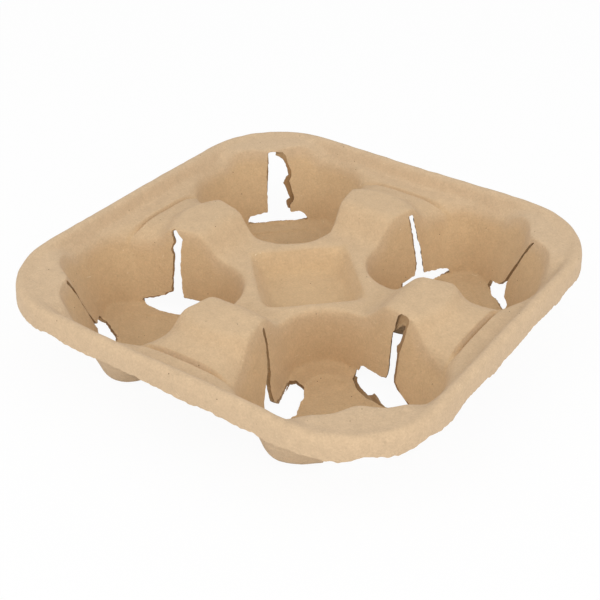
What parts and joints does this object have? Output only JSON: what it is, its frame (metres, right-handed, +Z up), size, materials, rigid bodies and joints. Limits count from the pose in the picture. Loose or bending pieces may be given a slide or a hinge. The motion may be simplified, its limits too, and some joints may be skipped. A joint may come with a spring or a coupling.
{
  "type": "moulded pulp cup carrier",
  "caption": "Square moulded pulp drinks carrier: tapered cup pockets with tee-shaped wall slits, humped bridges between them, a middle well and a turned-down rim.",
  "frame": {"origin": "on the standing plane under the pocket floors, at the middle of the carrier", "axes": "+Z up; +X and +Y square to the rim's straight sides, each along the middle of a bridge"},
  "size_m": [0.215, 0.215, 0.044],
  "materials": {
    "pulp": "matt moulded pulp, unprinted, with fine fibres and specks"
  },
  "bodies": {
    "root": {"cup_carrier": "pulp"}
  },
  "joints": []
}
